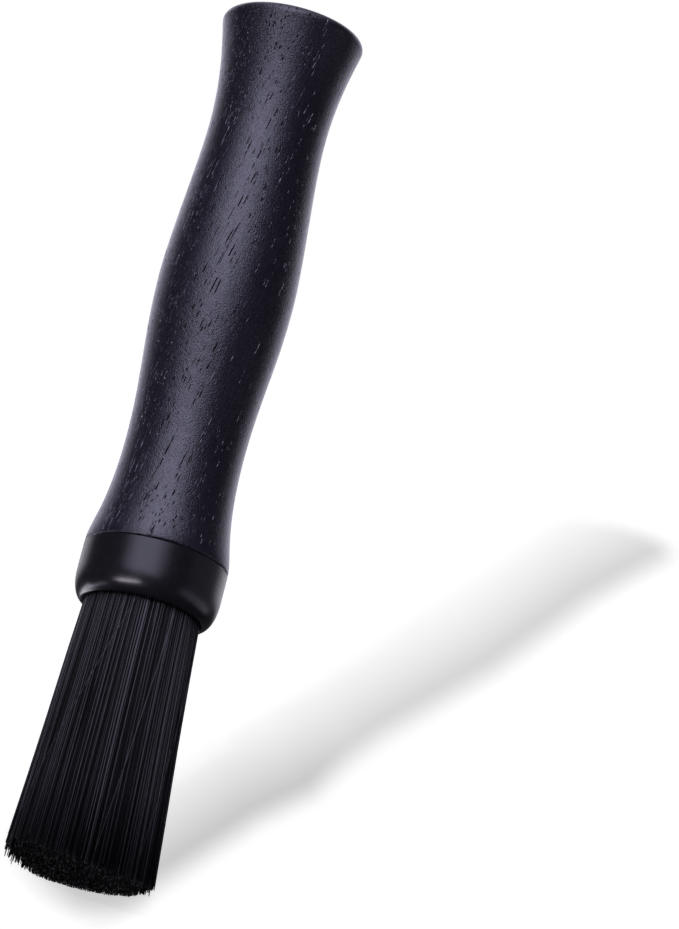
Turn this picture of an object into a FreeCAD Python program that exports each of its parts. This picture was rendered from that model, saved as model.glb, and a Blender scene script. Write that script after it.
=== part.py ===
import FreeCAD, Part
import math
import os

# Barista brush: a turned hardwood handle, a metal ferrule and a flared tuft of stiff filaments.
# Millimetres. The origin is the centre of the trimmed tips, and +Z runs up the handle.

# Heights, each from the station before it, from the tips up
TIPS_TO_BEND = 30.0
BEND_TO_MOUTH = 25.6
FERRULE_HEIGHT = 12.2
SHOULDER_TO_WAIST = 25.2
WAIST_TO_BELLY = 36.0
BELLY_TO_NECK = 36.5
NECK_TO_TOP = 24.5

# Handle, the depth of cut at each station, into stock as wide as the ferrule
SHOULDER_CUT = 0.06
WAIST_CUT = 2.88
BELLY_CUT = 0.83
NECK_CUT = 3.0
TOP_CUT = 0.13
TOP_EDGE_ROUND = 1.7
TOP_FLARE_ANGLE = 12.7
SHOULDER_EDGE_ROUND = 0.4

# Handle, the pull of the outline along the axis on each side of a station, as a share of the stretch
SHOULDER_PULL = 0.15
WAIST_PULL_DOWN = 0.66
WAIST_PULL_UP = 0.37
BELLY_PULL_DOWN = 0.37
BELLY_PULL_UP = 0.28
NECK_PULL_DOWN = 0.28
NECK_PULL_UP = 0.4
TOP_PULL = 0.3

# Ferrule, a turned ring whose lower half rounds in to the mouth
FERRULE_RADIUS = 15.48
SOCKET_WALL = 1.93
LEDGE_WIDTH = 0.95
LEDGE_THICKNESS = 2.9
LIP_ROUND_HEIGHT = 5.9
MOUTH_EDGE_ROUND = 0.3
SEAM_CHAMFER = 0.3

# Tenon, and the resin that holds the roots of the filaments
GLUE_LINE = 0.05
TENON_CHAMFER = 0.6
POTTED_LENGTH = 3.2
RESIN_ROOF = 1.2
RESIN_EDGE_ROUND = 0.4

# Tuft, a ridged solid that flares from the mouth to the trimmed end
MOUTH_PLAY = 0.12
TUFT_BEND_RADIUS = 14.13
TUFT_TIP_RADIUS = 16.4
CLUMP_COUNT = 120
GROOVE_DEPTH = 0.55
RIM_RAGGEDNESS = 1.1

# Heights and radii that follow from the sizes above
BEND_Z = TIPS_TO_BEND
MOUTH_Z = BEND_Z + BEND_TO_MOUTH
SEAM_Z = MOUTH_Z + FERRULE_HEIGHT
WAIST_Z = SEAM_Z + SHOULDER_TO_WAIST
BELLY_Z = WAIST_Z + WAIST_TO_BELLY
NECK_Z = BELLY_Z + BELLY_TO_NECK
TOP_Z = NECK_Z + NECK_TO_TOP
LEDGE_Z = MOUTH_Z + LEDGE_THICKNESS
ROOT_TOP_Z = LEDGE_Z + POTTED_LENGTH
RESIN_TOP_Z = ROOT_TOP_Z + RESIN_ROOF
TENON_END_Z = RESIN_TOP_Z + GLUE_LINE
SHOULDER_RADIUS = FERRULE_RADIUS - SHOULDER_CUT
WAIST_RADIUS = FERRULE_RADIUS - WAIST_CUT
BELLY_RADIUS = FERRULE_RADIUS - BELLY_CUT
NECK_RADIUS = FERRULE_RADIUS - NECK_CUT
TOP_RADIUS = FERRULE_RADIUS - TOP_CUT
SOCKET_RADIUS = FERRULE_RADIUS - SOCKET_WALL
MOUTH_RADIUS = SOCKET_RADIUS - LEDGE_WIDTH
TENON_RADIUS = SOCKET_RADIUS - GLUE_LINE
RESIN_RADIUS = SOCKET_RADIUS - GLUE_LINE
TUFT_ROOT_RADIUS = MOUTH_RADIUS - MOUTH_PLAY

UP = FreeCAD.Vector(0, 0, 1)
QUARTER_TURN_PULL = 0.5523


def at(radius, z):
    """A point of an outline, in the plane y = 0."""
    return FreeCAD.Vector(radius, 0, z)


def around(radius, turn, z):
    """A point at a turn, in radians, about the axis."""
    return FreeCAD.Vector(radius * math.cos(turn), radius * math.sin(turn), z)


def line(start, end):
    return Part.LineSegment(start, end).toShape()


def curve(start, first, last, end):
    """A cubic stretch from start to end that leaves towards first and arrives from last."""
    stretch = Part.BezierCurve()
    stretch.setPoles([start, first, last, end])
    return stretch.toShape()


def quarter(start, corner, end):
    """A quarter of an ellipse from start to end, tangent there to the two sides of the corner."""
    return curve(start, start + (corner - start) * QUARTER_TURN_PULL,
                 end + (corner - end) * QUARTER_TURN_PULL, end)


def between(low, low_pull, high, high_pull):
    """A stretch that runs along the axis at both of its stations."""
    rise = high.z - low.z
    return curve(low, low + UP * (rise * low_pull), high - UP * (rise * high_pull), high)


def turned(edges):
    """Revolves a closed outline in the plane y = 0 about the axis."""
    return Part.Face(Part.Wire(edges)).revolve(FreeCAD.Vector(0, 0, 0), UP, 360)


# Handle
def make_handle():
    """Tenon, shoulder, waist, belly, neck and a flared top with a rounded edge, turned in one."""
    tenon_end = at(TENON_RADIUS - TENON_CHAMFER, TENON_END_Z)
    tenon_side = at(TENON_RADIUS, TENON_END_Z + TENON_CHAMFER)
    tenon_root = at(TENON_RADIUS, SEAM_Z)
    seat_edge = at(SHOULDER_RADIUS - SHOULDER_EDGE_ROUND, SEAM_Z)
    shoulder = at(SHOULDER_RADIUS, SEAM_Z + SHOULDER_EDGE_ROUND)
    waist = at(WAIST_RADIUS, WAIST_Z)
    belly = at(BELLY_RADIUS, BELLY_Z)
    neck = at(NECK_RADIUS, NECK_Z)

    flare = math.radians(TOP_FLARE_ANGLE)
    round_centre = at(TOP_RADIUS - TOP_EDGE_ROUND, TOP_Z - TOP_EDGE_ROUND)
    flare_end = round_centre + at(math.cos(flare), -math.sin(flare)) * TOP_EDGE_ROUND
    middle = (math.pi / 2 - flare) / 2
    round_middle = round_centre + at(math.cos(middle), math.sin(middle)) * TOP_EDGE_ROUND
    top_edge = round_centre + UP * TOP_EDGE_ROUND
    flare_rise = flare_end.z - neck.z
    into_flare = flare_end - at(math.sin(flare), math.cos(flare)) * (flare_rise * TOP_PULL)

    return turned([
        line(at(0, TENON_END_Z), tenon_end),
        line(tenon_end, tenon_side),
        line(tenon_side, tenon_root),
        line(tenon_root, seat_edge),
        quarter(seat_edge, at(SHOULDER_RADIUS, SEAM_Z), shoulder),
        between(shoulder, SHOULDER_PULL, waist, WAIST_PULL_DOWN),
        between(waist, WAIST_PULL_UP, belly, BELLY_PULL_DOWN),
        between(belly, BELLY_PULL_UP, neck, NECK_PULL_DOWN),
        curve(neck, neck + UP * (flare_rise * NECK_PULL_UP), into_flare, flare_end),
        Part.Arc(flare_end, round_middle, top_edge).toShape(),
        line(top_edge, at(0, TOP_Z)),
        line(at(0, TOP_Z), at(0, TENON_END_Z)),
    ])


# Ferrule
def make_ferrule():
    """Ring with a socket for the tenon, a ledge under the resin and a lip rounded to the mouth."""
    lip_inner = MOUTH_RADIUS + MOUTH_EDGE_ROUND
    lip_start = at(FERRULE_RADIUS, MOUTH_Z + LIP_ROUND_HEIGHT)
    lip_end = at(lip_inner, MOUTH_Z)
    mouth_side = at(MOUTH_RADIUS, MOUTH_Z + MOUTH_EDGE_ROUND)
    ledge_edge = at(MOUTH_RADIUS, LEDGE_Z)
    ledge_corner = at(SOCKET_RADIUS, LEDGE_Z)
    socket_edge = at(SOCKET_RADIUS, SEAM_Z)
    seam_inner = at(FERRULE_RADIUS - SEAM_CHAMFER, SEAM_Z)
    seam_outer = at(FERRULE_RADIUS, SEAM_Z - SEAM_CHAMFER)
    return turned([
        quarter(lip_start, at(FERRULE_RADIUS, MOUTH_Z), lip_end),
        quarter(lip_end, at(MOUTH_RADIUS, MOUTH_Z), mouth_side),
        line(mouth_side, ledge_edge),
        line(ledge_edge, ledge_corner),
        line(ledge_corner, socket_edge),
        line(socket_edge, seam_inner),
        line(seam_inner, seam_outer),
        line(seam_outer, lip_start),
    ])


# Resin
def make_resin_plug():
    """Cap of cast resin on the ferrule's ledge, with the pocket that the roots are potted in."""
    roof_edge = at(RESIN_RADIUS - RESIN_EDGE_ROUND, RESIN_TOP_Z)
    side_top = at(RESIN_RADIUS, RESIN_TOP_Z - RESIN_EDGE_ROUND)
    return turned([
        line(at(0, ROOT_TOP_Z), at(MOUTH_RADIUS, ROOT_TOP_Z)),
        line(at(MOUTH_RADIUS, ROOT_TOP_Z), at(MOUTH_RADIUS, LEDGE_Z)),
        line(at(MOUTH_RADIUS, LEDGE_Z), at(RESIN_RADIUS, LEDGE_Z)),
        line(at(RESIN_RADIUS, LEDGE_Z), side_top),
        quarter(side_top, at(RESIN_RADIUS, RESIN_TOP_Z), roof_edge),
        line(roof_edge, at(0, RESIN_TOP_Z)),
        line(at(0, RESIN_TOP_Z), at(0, ROOT_TOP_Z)),
    ])


# Tuft
def uneven(index, seed):
    """A fixed, patternless number from 0 to 1 for each index."""
    value = math.sin(index * 12.9898 + seed * 78.233) * 43758.5453
    return value - math.floor(value)


def facet(*corners):
    return Part.Face(Part.makePolygon(list(corners) + [corners[0]]))


def tuft_radius(z):
    """Outer radius of the tuft, straight from the tips to the bend and on to the mouth."""
    if z < BEND_Z:
        return TUFT_TIP_RADIUS + (TUFT_BEND_RADIUS - TUFT_TIP_RADIUS) * z / TIPS_TO_BEND
    if z < MOUTH_Z:
        share = (z - BEND_Z) / BEND_TO_MOUTH
        return TUFT_BEND_RADIUS + (TUFT_ROOT_RADIUS - TUFT_BEND_RADIUS) * share
    return TUFT_ROOT_RADIUS


def make_bristles():
    """Clumps of filaments as ridges that end unevenly round a flat trimmed face.

    Every level has the same outline at another scale, so each side of a ridge is a flat strip.
    """
    step = 2 * math.pi / CLUMP_COUNT
    depth = GROOVE_DEPTH / TUFT_TIP_RADIUS
    crests = [1 - depth * 0.4 * uneven(i, 1) for i in range(CLUMP_COUNT)]
    grooves = [1 - depth * (0.7 + 0.3 * uneven(i, 2)) for i in range(CLUMP_COUNT)]
    levels = [ROOT_TOP_Z, MOUTH_Z, BEND_Z]

    def crest(i, z):
        return around(tuft_radius(z) * crests[i], (i + 0.5) * step, z)

    def groove(i, z):
        return around(tuft_radius(z) * grooves[i % CLUMP_COUNT], i * step, z)

    faces = []
    root_outline = []
    end_outline = []
    for i in range(CLUMP_COUNT):
        for high, low in zip(levels, levels[1:]):
            faces.append(facet(groove(i, high), crest(i, high), crest(i, low), groove(i, low)))
            faces.append(facet(crest(i, high), groove(i + 1, high), groove(i + 1, low), crest(i, low)))
        left = groove(i, 0)
        end = crest(i, RIM_RAGGEDNESS * uneven(i, 3))
        right = groove(i + 1, 0)
        faces.append(facet(groove(i, BEND_Z), crest(i, BEND_Z), end, left))
        faces.append(facet(crest(i, BEND_Z), groove(i + 1, BEND_Z), right, end))
        faces.append(facet(left, end, right))
        root_outline += [groove(i, ROOT_TOP_Z), crest(i, ROOT_TOP_Z)]
        end_outline.append(left)
    faces.append(facet(*root_outline))
    faces.append(facet(*end_outline))
    return Part.Solid(Part.Shell(faces))


nodes = {
    "handle": make_handle(),
    "ferrule": make_ferrule(),
    "resin_plug": make_resin_plug(),
    "bristles": make_bristles(),
}

os.makedirs("parts", exist_ok=True)
for name, shape in nodes.items():
    if not shape.isValid() or shape.Volume <= 0:
        print(name, "is not a sound solid")
    shape.exportStep("parts/" + name + ".step")
    box = shape.BoundBox
    print(name, shape.ShapeType, len(shape.Faces), "faces", round(shape.Volume), "mm3",
          [round(v, 2) for v in (box.XMin, box.YMin, box.ZMin, box.XMax, box.YMax, box.ZMax)])
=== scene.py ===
# %% [markdown]
# # A barista brush
# A barista brush sweeps loose coffee off a grinder and a counter. This one is a turned hardwood
# handle, stained black and lacquered satin, a satin black metal ferrule, and a dense tuft of black
# nylon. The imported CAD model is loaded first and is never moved. Every piece made here stands
# in the same place, in metres, with the tips of the bristles on the ground and Z up the handle.

# %% Load the frame
import bpy
import numpy as np
from mathutils import Matrix, Vector


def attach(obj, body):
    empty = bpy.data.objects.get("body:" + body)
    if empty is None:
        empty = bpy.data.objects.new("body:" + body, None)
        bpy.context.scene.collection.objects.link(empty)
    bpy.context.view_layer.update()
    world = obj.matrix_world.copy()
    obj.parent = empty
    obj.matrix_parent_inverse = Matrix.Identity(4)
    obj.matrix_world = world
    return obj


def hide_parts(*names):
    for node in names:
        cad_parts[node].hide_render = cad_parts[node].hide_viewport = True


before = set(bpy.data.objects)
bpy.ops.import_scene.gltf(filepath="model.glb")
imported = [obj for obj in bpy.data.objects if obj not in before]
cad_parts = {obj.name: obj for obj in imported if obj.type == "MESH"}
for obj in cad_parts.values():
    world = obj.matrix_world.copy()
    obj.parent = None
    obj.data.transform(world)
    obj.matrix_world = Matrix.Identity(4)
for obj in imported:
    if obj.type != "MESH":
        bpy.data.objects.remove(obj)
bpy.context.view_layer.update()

MM = 0.001

# %% [markdown]
# ## Where the camera stands
# The photograph looks at the brush from a little below its middle, with the handle leaning away,
# so the ring of tips at the end shows as a flat arc. Two turns describe it: a roll in the picture
# and a tilt towards the lens. A long lens keeps the two ends nearly the same size.
# The camera could be aimed with a constraint, but writing its three axes from the two angles
# keeps the fit to the photograph in a handful of numbers.

# %% The camera
IMAGE_WIDTH, IMAGE_HEIGHT = 679, 929
ROLL, TILT = np.radians(14.28), np.radians(17.59)
FOCAL_PIXELS = 7369.0
TIPS_IN_VIEW = np.array([-54.31, -82.47, -1520.0]) * MM

camera_right = np.array([np.cos(ROLL), -np.sin(ROLL) * np.sin(TILT), np.sin(ROLL) * np.cos(TILT)])
camera_up = np.array([-np.sin(ROLL), -np.cos(ROLL) * np.sin(TILT), np.cos(ROLL) * np.cos(TILT)])
camera_back = np.array([0.0, -np.cos(TILT), -np.sin(TILT)])
camera_axes = np.column_stack([camera_right, camera_up, camera_back])


def turned_like_camera(place):
    """A 4x4 matrix that stands an object at place with the camera's own three axes."""
    whole = np.eye(4)
    whole[:3, :3] = camera_axes
    whole[:3, 3] = place
    return Matrix(whole.tolist())


def from_view(x, y, z):
    """A point or direction given right, up and towards the viewer, in the brush's own axes."""
    return camera_axes @ np.array([x, y, z], float)


camera_place = -from_view(*TIPS_IN_VIEW)
lens = bpy.data.cameras.new("studio_camera")
lens.sensor_width = 36.0
lens.lens = FOCAL_PIXELS * lens.sensor_width / max(IMAGE_WIDTH, IMAGE_HEIGHT)
lens.clip_start, lens.clip_end = 0.05, 20.0
camera = bpy.data.objects.new("studio_camera", lens)
camera.matrix_world = turned_like_camera(camera_place)
bpy.context.scene.collection.objects.link(camera)
bpy.context.scene.camera = camera
print("camera at, mm:", (camera_place / MM).round(1), "lens", round(lens.lens, 1))

# %% [markdown]
# ## Helpers for meshes
# Both turned pieces are a profile carried round the axis, so one function makes them. A profile is
# a list of stations, radius and height, read in the direction that puts the outside on its right.

# %% Stretches of a profile
def bezier(points, count):
    """Stations of a cubic Bezier curve: its four points, each times its own weight in t, added up
    at evenly spaced t from 0 to 1."""
    t = np.linspace(0.0, 1.0, count)[:, None]
    weights = np.hstack([(1 - t) ** 3, 3 * (1 - t) ** 2 * t, 3 * (1 - t) * t ** 2, t ** 3])
    return weights @ np.array(points)


def cubic(start, end, pull_start, pull_end, count):
    """A Bezier curve between two stations (radius, height). Its handles lie along the axis,
    pull_start and pull_end of the stretch long, so it leaves both ends along the axis."""
    (r0, z0), (r1, z1) = start, end
    return bezier([(r0, z0), (r0, z0 + pull_start * (z1 - z0)),
                   (r1, z1 - pull_end * (z1 - z0)), (r1, z1)], count)


def line(start, end, count):
    """Stations evenly spaced on the straight line from start to end."""
    start, end = np.array(start), np.array(end)
    return start + np.linspace(0.0, 1.0, count)[:, None] * (end - start)


def arc(centre, size, start_angle, end_angle, count):
    """Stations on an ellipse: centre plus size times cosine and sine of an evenly turned angle."""
    angle = np.radians(np.linspace(start_angle, end_angle, count))
    return np.array(centre) + np.column_stack([size[0] * np.cos(angle), size[1] * np.sin(angle)])


def chain(*stretches):
    """Joins stretches of stations into one profile, leaving out a station that repeats the last."""
    whole = np.vstack(stretches)
    apart = np.linalg.norm(np.diff(whole, axis=0), axis=1) > 1e-6
    return whole[np.concatenate([[True], apart])]


print("a quarter round in 3 stations:", arc((0, 0), (1, 1), 0, 90, 3).round(2).tolist())

# %% Faces and meshes
def grid_faces(rows, columns, closed_rows=False):
    """Quads between neighbouring rows and columns of a grid whose columns close round the axis."""
    row = np.arange(rows if closed_rows else rows - 1)[:, None]
    column = np.arange(columns)[None, :]
    above, beside = (row + 1) % rows, (column + 1) % columns
    corners = [row * columns + column, row * columns + beside,
               above * columns + beside, above * columns + column]
    return np.stack([np.broadcast_to(c, (row.size, columns)) for c in corners], -1).reshape(-1, 4)


def add_piece(name, points, smooth_faces, flat_faces=None):
    """A mesh object at the origin from points in metres. Each set of faces is an array with one row
    of corner numbers a face; the first is shaded smooth and the second flat."""
    mesh = bpy.data.meshes.new(name)
    mesh.vertices.add(len(points))
    mesh.vertices.foreach_set("co", np.asarray(points, np.float32).ravel())
    sets = [smooth_faces] if flat_faces is None else [smooth_faces, flat_faces]
    corners = np.concatenate([faces.ravel() for faces in sets]).astype(np.int32)
    sizes = np.concatenate([np.full(len(faces), faces.shape[1]) for faces in sets]).astype(np.int32)
    mesh.loops.add(len(corners))
    mesh.loops.foreach_set("vertex_index", corners)
    mesh.polygons.add(len(sizes))
    mesh.polygons.foreach_set("loop_start", np.cumsum(sizes) - sizes)
    mesh.polygons.foreach_set("use_smooth", np.arange(len(sizes)) < len(smooth_faces))
    mesh.update(calc_edges=True)
    piece = bpy.data.objects.new(name, mesh)
    bpy.context.scene.collection.objects.link(piece)
    print(name, "triangles:", int((sizes - 2).sum()))
    return piece


print("quads of a grid with 2 rows and 3 columns:", grid_faces(2, 3).tolist())

# %% Turned pieces
AROUND, SHARP_ANGLE = 360, np.radians(35)


def turned(name, profile, closed):
    """A profile turned about Z: x = radius times cosine, y = radius times sine of the turn angle.
    An open profile ends in a flat face at each end; a closed one is a ring."""
    radius, height = profile[:, 0] * MM, profile[:, 1] * MM
    turn = np.arange(AROUND) * 2 * np.pi / AROUND
    points = np.stack([radius[:, None] * np.cos(turn), radius[:, None] * np.sin(turn),
                       np.broadcast_to(height[:, None], (len(radius), AROUND))], -1).reshape(-1, 3)
    quads = grid_faces(len(radius), AROUND, closed)
    ends = None
    if not closed:
        here, last = np.arange(AROUND), (len(radius) - 1) * AROUND
        ends = np.array([here[::-1], last + here])
    piece = add_piece(name, points, quads, ends)
    piece.data.set_sharp_from_angle(angle=SHARP_ANGLE)
    return piece

# %% [markdown]
# ## The handle
# The real handle is turned on a lathe from one piece of open-pored hardwood. From the ferrule it
# draws in to a waist, swells to a belly for the palm, draws in again to a neck for the fingers
# and flares to a flat top with a rounded edge. Each stretch is a curve that starts and ends along
# the axis, so neighbouring stretches flow into each other with no ridge.
# A lathe, a Screw modifier or a profile turned in numpy could make it. The last gives even faces
# all the way along, which the gloss needs.

# %% Handle sizes, in millimetres
SEAM, WAIST, BELLY, NECK, TOP = 67.8, 93.0, 129.0, 165.5, 190.0
SHOULDER_RADIUS, WAIST_RADIUS, BELLY_RADIUS = 15.42, 12.6, 14.65
NECK_RADIUS, TOP_RADIUS, POLE_RADIUS = 12.48, 15.35, 0.6
SHOULDER_EDGE, TOP_EDGE, FLARE_ANGLE = 0.4, 1.7, 12.7
TENON_RADIUS, TENON_END, TENON_CHAMFER = 13.5, 62.95, 0.6
# The pulls are the lengths of a curve's handles, as shares of the stretch.
SHOULDER_PULL, BELOW_WAIST_PULL, WAIST_TO_BELLY_PULL, BELLY_TO_NECK_PULL = 0.15, 0.66, 0.37, 0.28
NECK_PULL, TOP_PULL = 0.4, 0.3


def flare(count):
    """The neck's curve up to the round edge: it leaves the neck along the axis and meets the edge's
    arc at the flare's own angle."""
    lean = np.radians(FLARE_ANGLE)
    centre = np.array([TOP_RADIUS - TOP_EDGE, TOP - TOP_EDGE])
    meet = centre + TOP_EDGE * np.array([np.cos(lean), -np.sin(lean)])
    rise = meet[1] - NECK
    return bezier([(NECK_RADIUS, NECK), (NECK_RADIUS, NECK + NECK_PULL * rise),
                   meet - TOP_PULL * rise * np.array([np.tan(lean), 1.0]), meet], count)


print("the flare meets the edge at, mm:", flare(2)[-1].round(2))

# %% The handle's profile, from the tenon's end to the top
tenon_end = (TENON_RADIUS - TENON_CHAMFER, TENON_END)
tenon_side = (TENON_RADIUS, TENON_END + TENON_CHAMFER)
seat_edge = SHOULDER_RADIUS - SHOULDER_EDGE
waist, belly, neck = (WAIST_RADIUS, WAIST), (BELLY_RADIUS, BELLY), (NECK_RADIUS, NECK)
handle_profile = chain(
    line((POLE_RADIUS, TENON_END), tenon_end, 6),
    line(tenon_end, tenon_side, 3),
    line(tenon_side, (TENON_RADIUS, SEAM), 8),
    line((TENON_RADIUS, SEAM), (seat_edge, SEAM), 5),
    arc((seat_edge, SEAM + SHOULDER_EDGE), (SHOULDER_EDGE, SHOULDER_EDGE), -90, 0, 8),
    cubic((SHOULDER_RADIUS, SEAM + SHOULDER_EDGE), waist, SHOULDER_PULL, BELOW_WAIST_PULL, 40),
    cubic(waist, belly, WAIST_TO_BELLY_PULL, WAIST_TO_BELLY_PULL, 50),
    cubic(belly, neck, BELLY_TO_NECK_PULL, BELLY_TO_NECK_PULL, 50),
    flare(40),
    arc((TOP_RADIUS - TOP_EDGE, TOP - TOP_EDGE), (TOP_EDGE, TOP_EDGE), -FLARE_ANGLE, 90, 20),
    line((TOP_RADIUS - TOP_EDGE, TOP), (POLE_RADIUS, TOP), 22))
handle = turned("handle_wood", handle_profile, closed=False)
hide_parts("handle")
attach(handle, "root")

# %% [markdown]
# ## The ferrule
# The ferrule is a turned metal ring that grips the bristles and the handle's tenon. Its side is
# straight, a small chamfer leaves a fine seam against the wood, and a large rounding turns in to
# the mouth, where a small edge meets the bristles.
# A tube with bevels would give the lip a circle's quarter. The real one is taller than it is deep,
# so the ring's whole outline is written as a closed profile, with a quarter of an ellipse there.

# %% Ferrule sizes, in millimetres
FERRULE_RADIUS, SOCKET_RADIUS, MOUTH_RADIUS = 15.48, 13.55, 12.6
MOUTH, LEDGE, LIP_ROUND, MOUTH_EDGE, SEAM_CHAMFER = 55.6, 58.5, 5.9, 0.3, 0.3
LIP_WIDTH = FERRULE_RADIUS - MOUTH_RADIUS - MOUTH_EDGE

lip_top = (FERRULE_RADIUS, MOUTH + LIP_ROUND)
seam_outer = (FERRULE_RADIUS, SEAM - SEAM_CHAMFER)
seam_inner = (FERRULE_RADIUS - SEAM_CHAMFER, SEAM)
mouth_side = (MOUTH_RADIUS, MOUTH + MOUTH_EDGE)
mouth_round = (MOUTH_RADIUS + MOUTH_EDGE, MOUTH + MOUTH_EDGE)
ferrule_profile = chain(
    arc((FERRULE_RADIUS - LIP_WIDTH, MOUTH + LIP_ROUND), (LIP_WIDTH, LIP_ROUND), -90, 0, 40),
    line(lip_top, seam_outer, 16),
    line(seam_outer, seam_inner, 5),
    line(seam_inner, (SOCKET_RADIUS, SEAM), 4),
    line((SOCKET_RADIUS, SEAM), (SOCKET_RADIUS, LEDGE), 16),
    line((SOCKET_RADIUS, LEDGE), (MOUTH_RADIUS, LEDGE), 3),
    line((MOUTH_RADIUS, LEDGE), mouth_side, 6),
    arc(mouth_round, (MOUTH_EDGE, MOUTH_EDGE), 180, 270, 7))[:-1]
ferrule = turned("ferrule_metal", ferrule_profile, closed=True)
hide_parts("ferrule")
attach(ferrule, "root")

# %% [markdown]
# ## The tuft
# The tuft is thousands of stiff nylon filaments about a fifth of a millimetre thick. They run
# straight out of the ferrule, fan a little towards the tips, and are trimmed flat.
# Hair strands could stand in for them, but a strand has no surface once the model is exported, so
# each filament is a slender six-sided stick of its own. They start on a sunflower spiral, which
# fills a disc evenly, inside two rings of evenly spaced ones that make the outline. Then they are
# nudged singly and in clumps, so the bundle looks gathered by hand. Every second to fifth filament
# of the outer ring, and about a fifth of those inside it, is painted bright as a painted highlight:
# lines of light at that spacing are what the eye counts.

# %% Tuft sizes, in millimetres
FILAMENTS, RIM_FILAMENTS, FILAMENT_RADIUS, SIDES = 7600, 900, 0.102, 6
TUFT_ROOT_RADIUS, TUFT_BEND_RADIUS, TUFT_TIP_RADIUS = 12.48, 14.13, 16.4
ROOT, BEND = 61.2, 30.0
LEVELS = np.array([ROOT, MOUTH, 44.0, BEND, 15.0, 0.0])
FREE_SHARE = np.clip((MOUTH - LEVELS) / MOUTH, 0, 1)
LEAN, GATHERED = 0.8, 0.35
LEANING = LEAN * FREE_SHARE ** 1.5
chance = np.random.default_rng(7)
print("share of the free length at each level:", FREE_SHARE.round(2))

# %% The tuft's radius, ramps, and random waves
def tuft_radius(height):
    """The tuft's radius at a height: straight inside the ferrule, then two gentle slopes."""
    return np.interp(height, [0.0, BEND, MOUTH, ROOT],
                     [TUFT_TIP_RADIUS, TUFT_BEND_RADIUS, TUFT_ROOT_RADIUS, TUFT_ROOT_RADIUS])


def free_radius():
    """The tuft's radius at each level, drawn in by GATHERED towards the tips."""
    return tuft_radius(LEVELS) - GATHERED * FREE_SHARE


def ramp(value, start, length):
    """0 up to start, 1 from a length further on, and a straight slope between."""
    return np.clip((value - start) / length, 0, 1)


def waves(x, y, count, reach, size):
    """A smooth random field over the plane: a sum of sine waves of random direction and phase,
    none finer than reach millimetres, scaled to about size."""
    angle, phase = chance.uniform(0, 2 * np.pi, (2, count))
    pitch = 2 * np.pi / (reach * chance.uniform(1.0, 2.5, count))
    crests = np.sin(np.outer(x, pitch * np.cos(angle)) + np.outer(y, pitch * np.sin(angle)) + phase)
    return size * crests.sum(1) * np.sqrt(2 / count)


print("tuft radius at each level, mm:", free_radius().round(2))

# %% Centre lines of the filaments
RIM_SHARES, ROOT_JITTER = (0.985, 0.965), 0.05
RIM_STRAY, INNER_STRAY, WILD_CHANCE, WILD_STRAY = 0.13, 0.20, 0.06, 0.8
BOW, CLUMP_WAVES, CLUMP_REACH, CLUMP_DRIFT = 0.06, 14, 1.1, 0.10
ROOM_BELOW_MOUTH, ROOM_INSIDE = 0.04, -0.02


def bundle():
    """Centre lines of the filaments as (filament, level, 3), and how far out each one starts.
    Filament k starts at share sqrt(k / count) of the radius, turned k golden angles. Down its free
    length it keeps that share of the tuft's radius, plus a drift it has in common with its clump,
    a stray of its own, and a slight bow."""
    number = np.arange(FILAMENTS) + 0.5
    share = np.sqrt(number / FILAMENTS) * (1 - 0.9 * FILAMENT_RADIUS / TUFT_ROOT_RADIUS)
    turn = number * np.pi * (3 - np.sqrt(5))
    rim = number > FILAMENTS - RIM_FILAMENTS
    share[rim] = np.where(np.arange(RIM_FILAMENTS) % 2, *RIM_SHARES)
    turn[rim] = np.arange(RIM_FILAMENTS) * 2 * np.pi / RIM_FILAMENTS
    x, y = TUFT_ROOT_RADIUS * share * np.array([np.cos(turn), np.sin(turn)])
    jitter_x, jitter_y = chance.normal(0, ROOT_JITTER, (2, FILAMENTS))
    x, y = x + jitter_x, y + jitter_y
    widening = free_radius() / TUFT_ROOT_RADIUS
    stray = chance.normal(0, 1, (2, FILAMENTS)) * np.where(rim, RIM_STRAY, INNER_STRAY)
    wild = ~rim & (chance.random(FILAMENTS) < WILD_CHANCE)
    stray[:, wild] += chance.normal(0, WILD_STRAY, (2, wild.sum()))
    bow = chance.normal(0, BOW, (2, FILAMENTS))
    lines = np.empty((FILAMENTS, len(LEVELS), 3))
    for axis, start in enumerate((x, y)):
        drift = waves(x, y, CLUMP_WAVES, CLUMP_REACH, CLUMP_DRIFT) + stray[axis]
        lines[:, :, axis] = (np.outer(start, widening) + np.outer(drift, FREE_SHARE ** 1.3)
                             + np.outer(bow[axis], 4 * FREE_SHARE * (1 - FREE_SHARE)))
    lines[:, :, 2] = LEVELS
    outward = np.hypot(lines[:, :, 0], lines[:, :, 1])
    most = free_radius() + np.where(FREE_SHARE > 0, ROOM_BELOW_MOUTH, ROOM_INSIDE)
    lines[:, :, :2] *= np.minimum(1, most / outward.clip(1e-6))[:, :, None]
    lines[:, :, 0] += LEANING
    return lines, share

filament_lines, filament_share = bundle()
print("tuft reaches, mm:", np.hypot(*filament_lines[:, -1, :2].T).max().round(2))

# %% The cut
CUT_WAVES, CUT_REACH, CUT_UNEVEN, FAR_EVENNESS = 16, 1.2, 0.45, 0.9
LONGEST, NEAR_LONGER, NEAR_SPAN, SHORTEST = 1.15, 2.4, 14.0, 3.0
SHORT_BY, SHORT_CHANCE_LEFT, SHORT_CHANCE_RIGHT = (0.3, 3.4), 0.85, 0.45
# Ramps as start and length, in shares of the radius or of the turn from front to side.
FAR_RIM, NEAR_RIM = (0.55, 0.25), (0.40, 0.60)
LEFT_SIDE, RIGHT_SIDE, LEFT_RIM, RIGHT_RIM, RIM_RAMP = (0.62, 0.34), (0.90, 0.12), 0.74, 0.86, 0.08


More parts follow.
